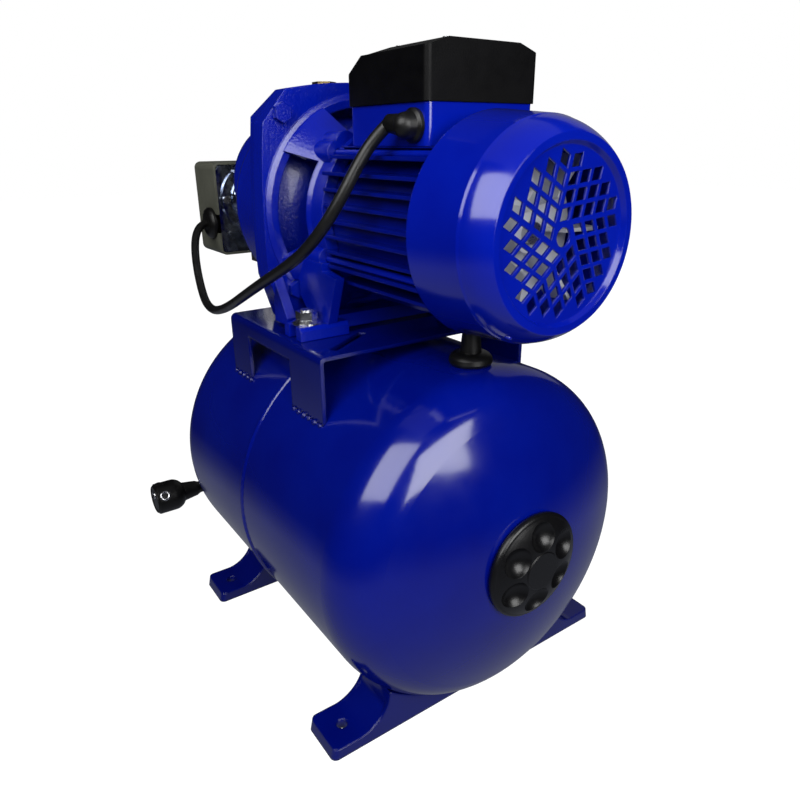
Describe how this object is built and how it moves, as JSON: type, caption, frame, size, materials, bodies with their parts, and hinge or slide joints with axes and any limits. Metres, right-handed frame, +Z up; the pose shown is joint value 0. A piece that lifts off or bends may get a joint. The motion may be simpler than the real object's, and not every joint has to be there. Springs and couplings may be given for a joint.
{
  "type": "shallow well jet pump",
  "caption": "Self-priming jet pump and electric motor on a horizontal pressure tank, with pressure switch, gauge, hose and mains lead.",
  "frame": {"origin": "floor point at the centre of the four foot bolt holes", "axes": "+X from pump head to fan end, +Y towards the suction port side, +Z up"},
  "size_m": [0.6002, 0.2905, 0.4986],
  "materials": {
    "blue_enamel": "deep royal blue gloss enamel",
    "black_plastic": "black satin plastic",
    "grey_plastic": "dark grey satin plastic",
    "fan_plastic": "light grey plastic",
    "zinc": "bright zinc plated steel",
    "steel": "turned steel",
    "iron": "pebbled cast iron, painted blue",
    "nickel": "nickel plated brass",
    "brass": "brass",
    "copper": "enamelled copper winding",
    "black_rubber": "black rubber",
    "ceramic": "ceramic",
    "gauge_case": "black case",
    "clear": "clear glass",
    "red": "red paint",
    "braid": "steel braid over rubber"
  },
  "bodies": {
    "set": {"tank_half_fan": "blue_enamel", "tank_half_pump": "blue_enamel", "foot_fan_end": "blue_enamel", "foot_pump_end": "blue_enamel", "saddle_plate": "blue_enamel", "pump_body": "blue_enamel", "bracket": "blue_enamel", "motor_housing": "blue_enamel", "rear_shield": "blue_enamel", "fan_cover": "blue_enamel", "terminal_box": "blue_enamel", "tie_rods": "blue_enamel", "flange_bolts": "blue_enamel", "diffuser": "black_plastic", "ejector": "black_plastic", "capacitor": "black_plastic", "switch_contacts": "grey_plastic", "terminal_block": "grey_plastic", "tank_flange": "zinc", "tank_flange_bolts": "zinc", "foot_bolts": "zinc", "switch_base": "zinc", "switch_dome": "zinc", "switch_screws": "zinc", "switch_spring": "zinc", "bearings": "steel", "stator": "steel", "back_plate": "iron", "five_way": "nickel", "hose_elbow": "nickel", "air_valve": "brass", "windings": "copper", "bladder": "black_rubber", "rear_support": "black_rubber", "motor_gland": "black_rubber", "switch_glands": "black_rubber", "link_cord": "black_rubber", "mains_cord": "black_rubber", "mains_coil": "black_rubber", "mains_tail": "black_rubber", "mains_plug": "black_rubber", "seal_seat": "ceramic", "gauge_body": "gauge_case", "gauge_glass": "clear", "tank_hose": "braid"},
    "spinner": {"shaft": "steel", "rotor": "steel", "fan": "fan_plastic", "impeller": "brass", "seal_head": "steel"},
    "needle": {"gauge_needle": "red"},
    "cap": {"valve_cap": "black_plastic"},
    "prime": {"priming_plug": "brass"},
    "drain": {"drain_plug": "brass"},
    "lid": {"terminal_lid": "black_plastic", "lid_screws": "zinc"},
    "cover": {"switch_cover": "grey_plastic"},
    "nut": {"cover_nut": "black_plastic"},
    "arm": {"switch_arm": "zinc"},
    "swivel": {"hose_nut": "nickel"}
  },
  "joints": [
    {"name": "motor_spin", "type": "hinge", "parent": "set", "child": "spinner", "pos_m": [0, 0, 0.385], "axis": [1, 0, 0], "continuous": true},
    {"name": "gauge_turn", "type": "hinge", "parent": "set", "child": "needle", "pos_m": [-0.231, 0.05, 0.38], "axis": [0, 1, 0], "range_deg": [0, 270]},
    {"name": "valve_cap_off", "type": "slide", "parent": "set", "child": "cap", "axis": [1, 0, 0], "range_m": [0, 0.04]},
    {"name": "priming_plug_out", "type": "slide", "parent": "set", "child": "prime", "axis": [0, 0, 1], "range_m": [0, 0.03]},
    {"name": "drain_plug_out", "type": "slide", "parent": "set", "child": "drain", "axis": [0, 0, -1], "range_m": [0, 0.02]},
    {"name": "terminal_lid_off", "type": "slide", "parent": "set", "child": "lid", "axis": [0, 0, 1], "range_m": [0, 0.06]},
    {"name": "switch_cover_off", "type": "slide", "parent": "set", "child": "cover", "axis": [-1, 0, 0], "range_m": [0, 0.08]},
    {"name": "cover_nut_off", "type": "slide", "parent": "cover", "child": "nut", "axis": [-1, 0, 0], "range_m": [0, 0.02]},
    {"name": "switch_arm_tilt", "type": "hinge", "parent": "set", "child": "arm", "pos_m": [-0.2945, 0, 0.356], "axis": [0, 1, 0], "range_deg": [0, 5]},
    {"name": "hose_nut_turn", "type": "hinge", "parent": "set", "child": "swivel", "pos_m": [-0.231, 0, 0.328], "axis": [0, 0, 1], "continuous": true}
  ]
}
